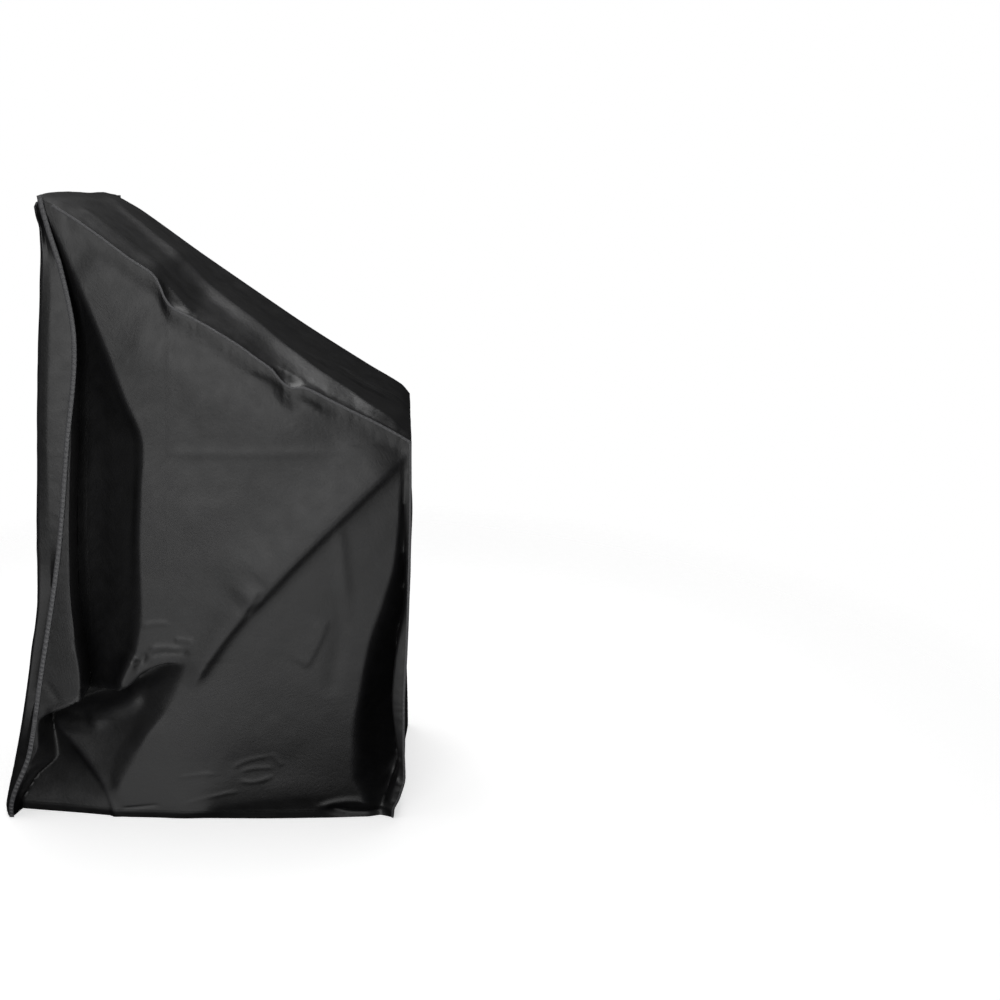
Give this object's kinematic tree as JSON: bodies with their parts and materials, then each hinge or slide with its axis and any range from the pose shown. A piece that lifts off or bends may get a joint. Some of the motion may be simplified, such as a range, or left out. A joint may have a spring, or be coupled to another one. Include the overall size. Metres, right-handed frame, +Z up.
{
  "type": "exercise bike cover",
  "caption": "Fitted black cloth dust cover for an upright exercise bike: tall at the front, roof sloping down to the back, bound side seams, open at the hem.",
  "frame": {"origin": "on the floor plane at the hem, under the middle of the cover's bounding box", "axes": "+Z up; +X from the tall handlebar end to the low saddle end; -Y is the near side of the picture, +Y the far side"},
  "size_m": [1.0244, 0.6053, 1.4785],
  "materials": {
    "cover_cloth": "tightly woven black nylon oxford with a smooth, slightly glossy coated face",
    "seam_binding": "black woven binding tape, slightly lighter and glossier than the cloth, puckered by its stitching"
  },
  "bodies": {
    "root": {"side_near": "cover_cloth", "side_far": "cover_cloth", "front_panel": "cover_cloth", "roof_panel": "cover_cloth", "back_panel": "cover_cloth", "front_binding_near": "seam_binding", "roof_back_binding_near": "seam_binding", "front_binding_far": "seam_binding", "roof_back_binding_far": "seam_binding"}
  },
  "joints": []
}
